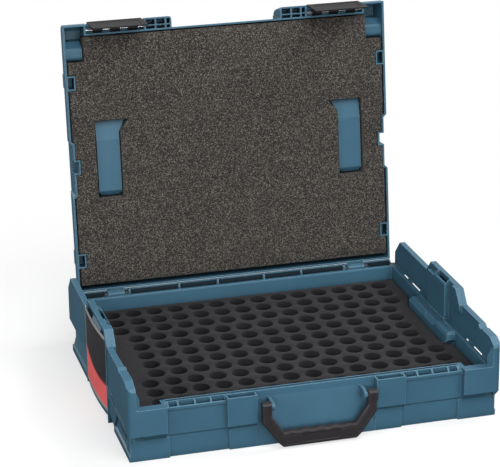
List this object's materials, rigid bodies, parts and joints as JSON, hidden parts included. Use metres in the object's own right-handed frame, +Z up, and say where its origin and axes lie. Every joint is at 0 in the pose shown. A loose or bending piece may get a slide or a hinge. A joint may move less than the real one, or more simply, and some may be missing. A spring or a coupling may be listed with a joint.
{
  "type": "stackable carry case with foam tray",
  "caption": "Stackable carry case standing open, with a padded lid, two front latches, a bail handle, high side wings and a foam tray of round holes.",
  "frame": {"origin": "middle of the underside of the tub, on the ground", "axes": "+X to the right when facing the handle, +Y to the rear, +Z up"},
  "size_m": [0.4438, 0.4299, 0.4137],
  "materials": {
    "shell_blue": "fine-grained satin, moulded",
    "trim_black": "fine-grained matt, moulded",
    "foam_brown": "open-cell speckled foam",
    "foam_grey": "closed-cell matt foam",
    "steel": "drawn bright wire",
    "card_red": "printed film"
  },
  "bodies": {
    "base": {"base_shell": "shell_blue", "tray_foam": "foam_grey", "handle_pin_left": "steel", "handle_pin_right": "steel", "hinge_pin_left": "steel", "hinge_pin_right": "steel", "label_card_left": "card_red", "label_card_right": "card_red"},
    "lid": {"lid_shell": "shell_blue", "lid_foam": "foam_brown", "latch_pin_left": "steel", "latch_pin_right": "steel"},
    "left_latch": {"latch_left": "trim_black"},
    "right_latch": {"latch_right": "trim_black"},
    "handle": {"front_handle": "trim_black"},
    "left_catch": {"stack_catch_left": "shell_blue"},
    "right_catch": {"stack_catch_right": "shell_blue"}
  },
  "joints": [
    {"name": "lid_hinge", "type": "hinge", "parent": "base", "child": "lid", "pos_m": [0, 0.1755, 0.066], "axis": [1, 0, 0], "range_deg": [0, 96]},
    {"name": "latch_left_hinge", "type": "hinge", "parent": "lid", "child": "left_latch", "pos_m": [-0.14135, 0.21481, 0.40173], "axis": [-1, 0, 0], "range_deg": [0, 85]},
    {"name": "latch_right_hinge", "type": "hinge", "parent": "lid", "child": "right_latch", "pos_m": [0.14135, 0.21481, 0.40173], "axis": [-1, 0, 0], "range_deg": [0, 85]},
    {"name": "handle_hinge", "type": "hinge", "parent": "base", "child": "handle", "pos_m": [0, -0.18, 0.0525], "axis": [-1, 0, 0], "range_deg": [0, 100]},
    {"name": "catch_left_slide", "type": "slide", "parent": "base", "child": "left_catch", "axis": [1, 0, 0], "range_m": [0, 0.002], "stiffness_N_per_m": 600, "springref_m": -0.002},
    {"name": "catch_right_slide", "type": "slide", "parent": "base", "child": "right_catch", "axis": [-1, 0, 0], "range_m": [0, 0.002], "stiffness_N_per_m": 600, "springref_m": -0.002}
  ]
}
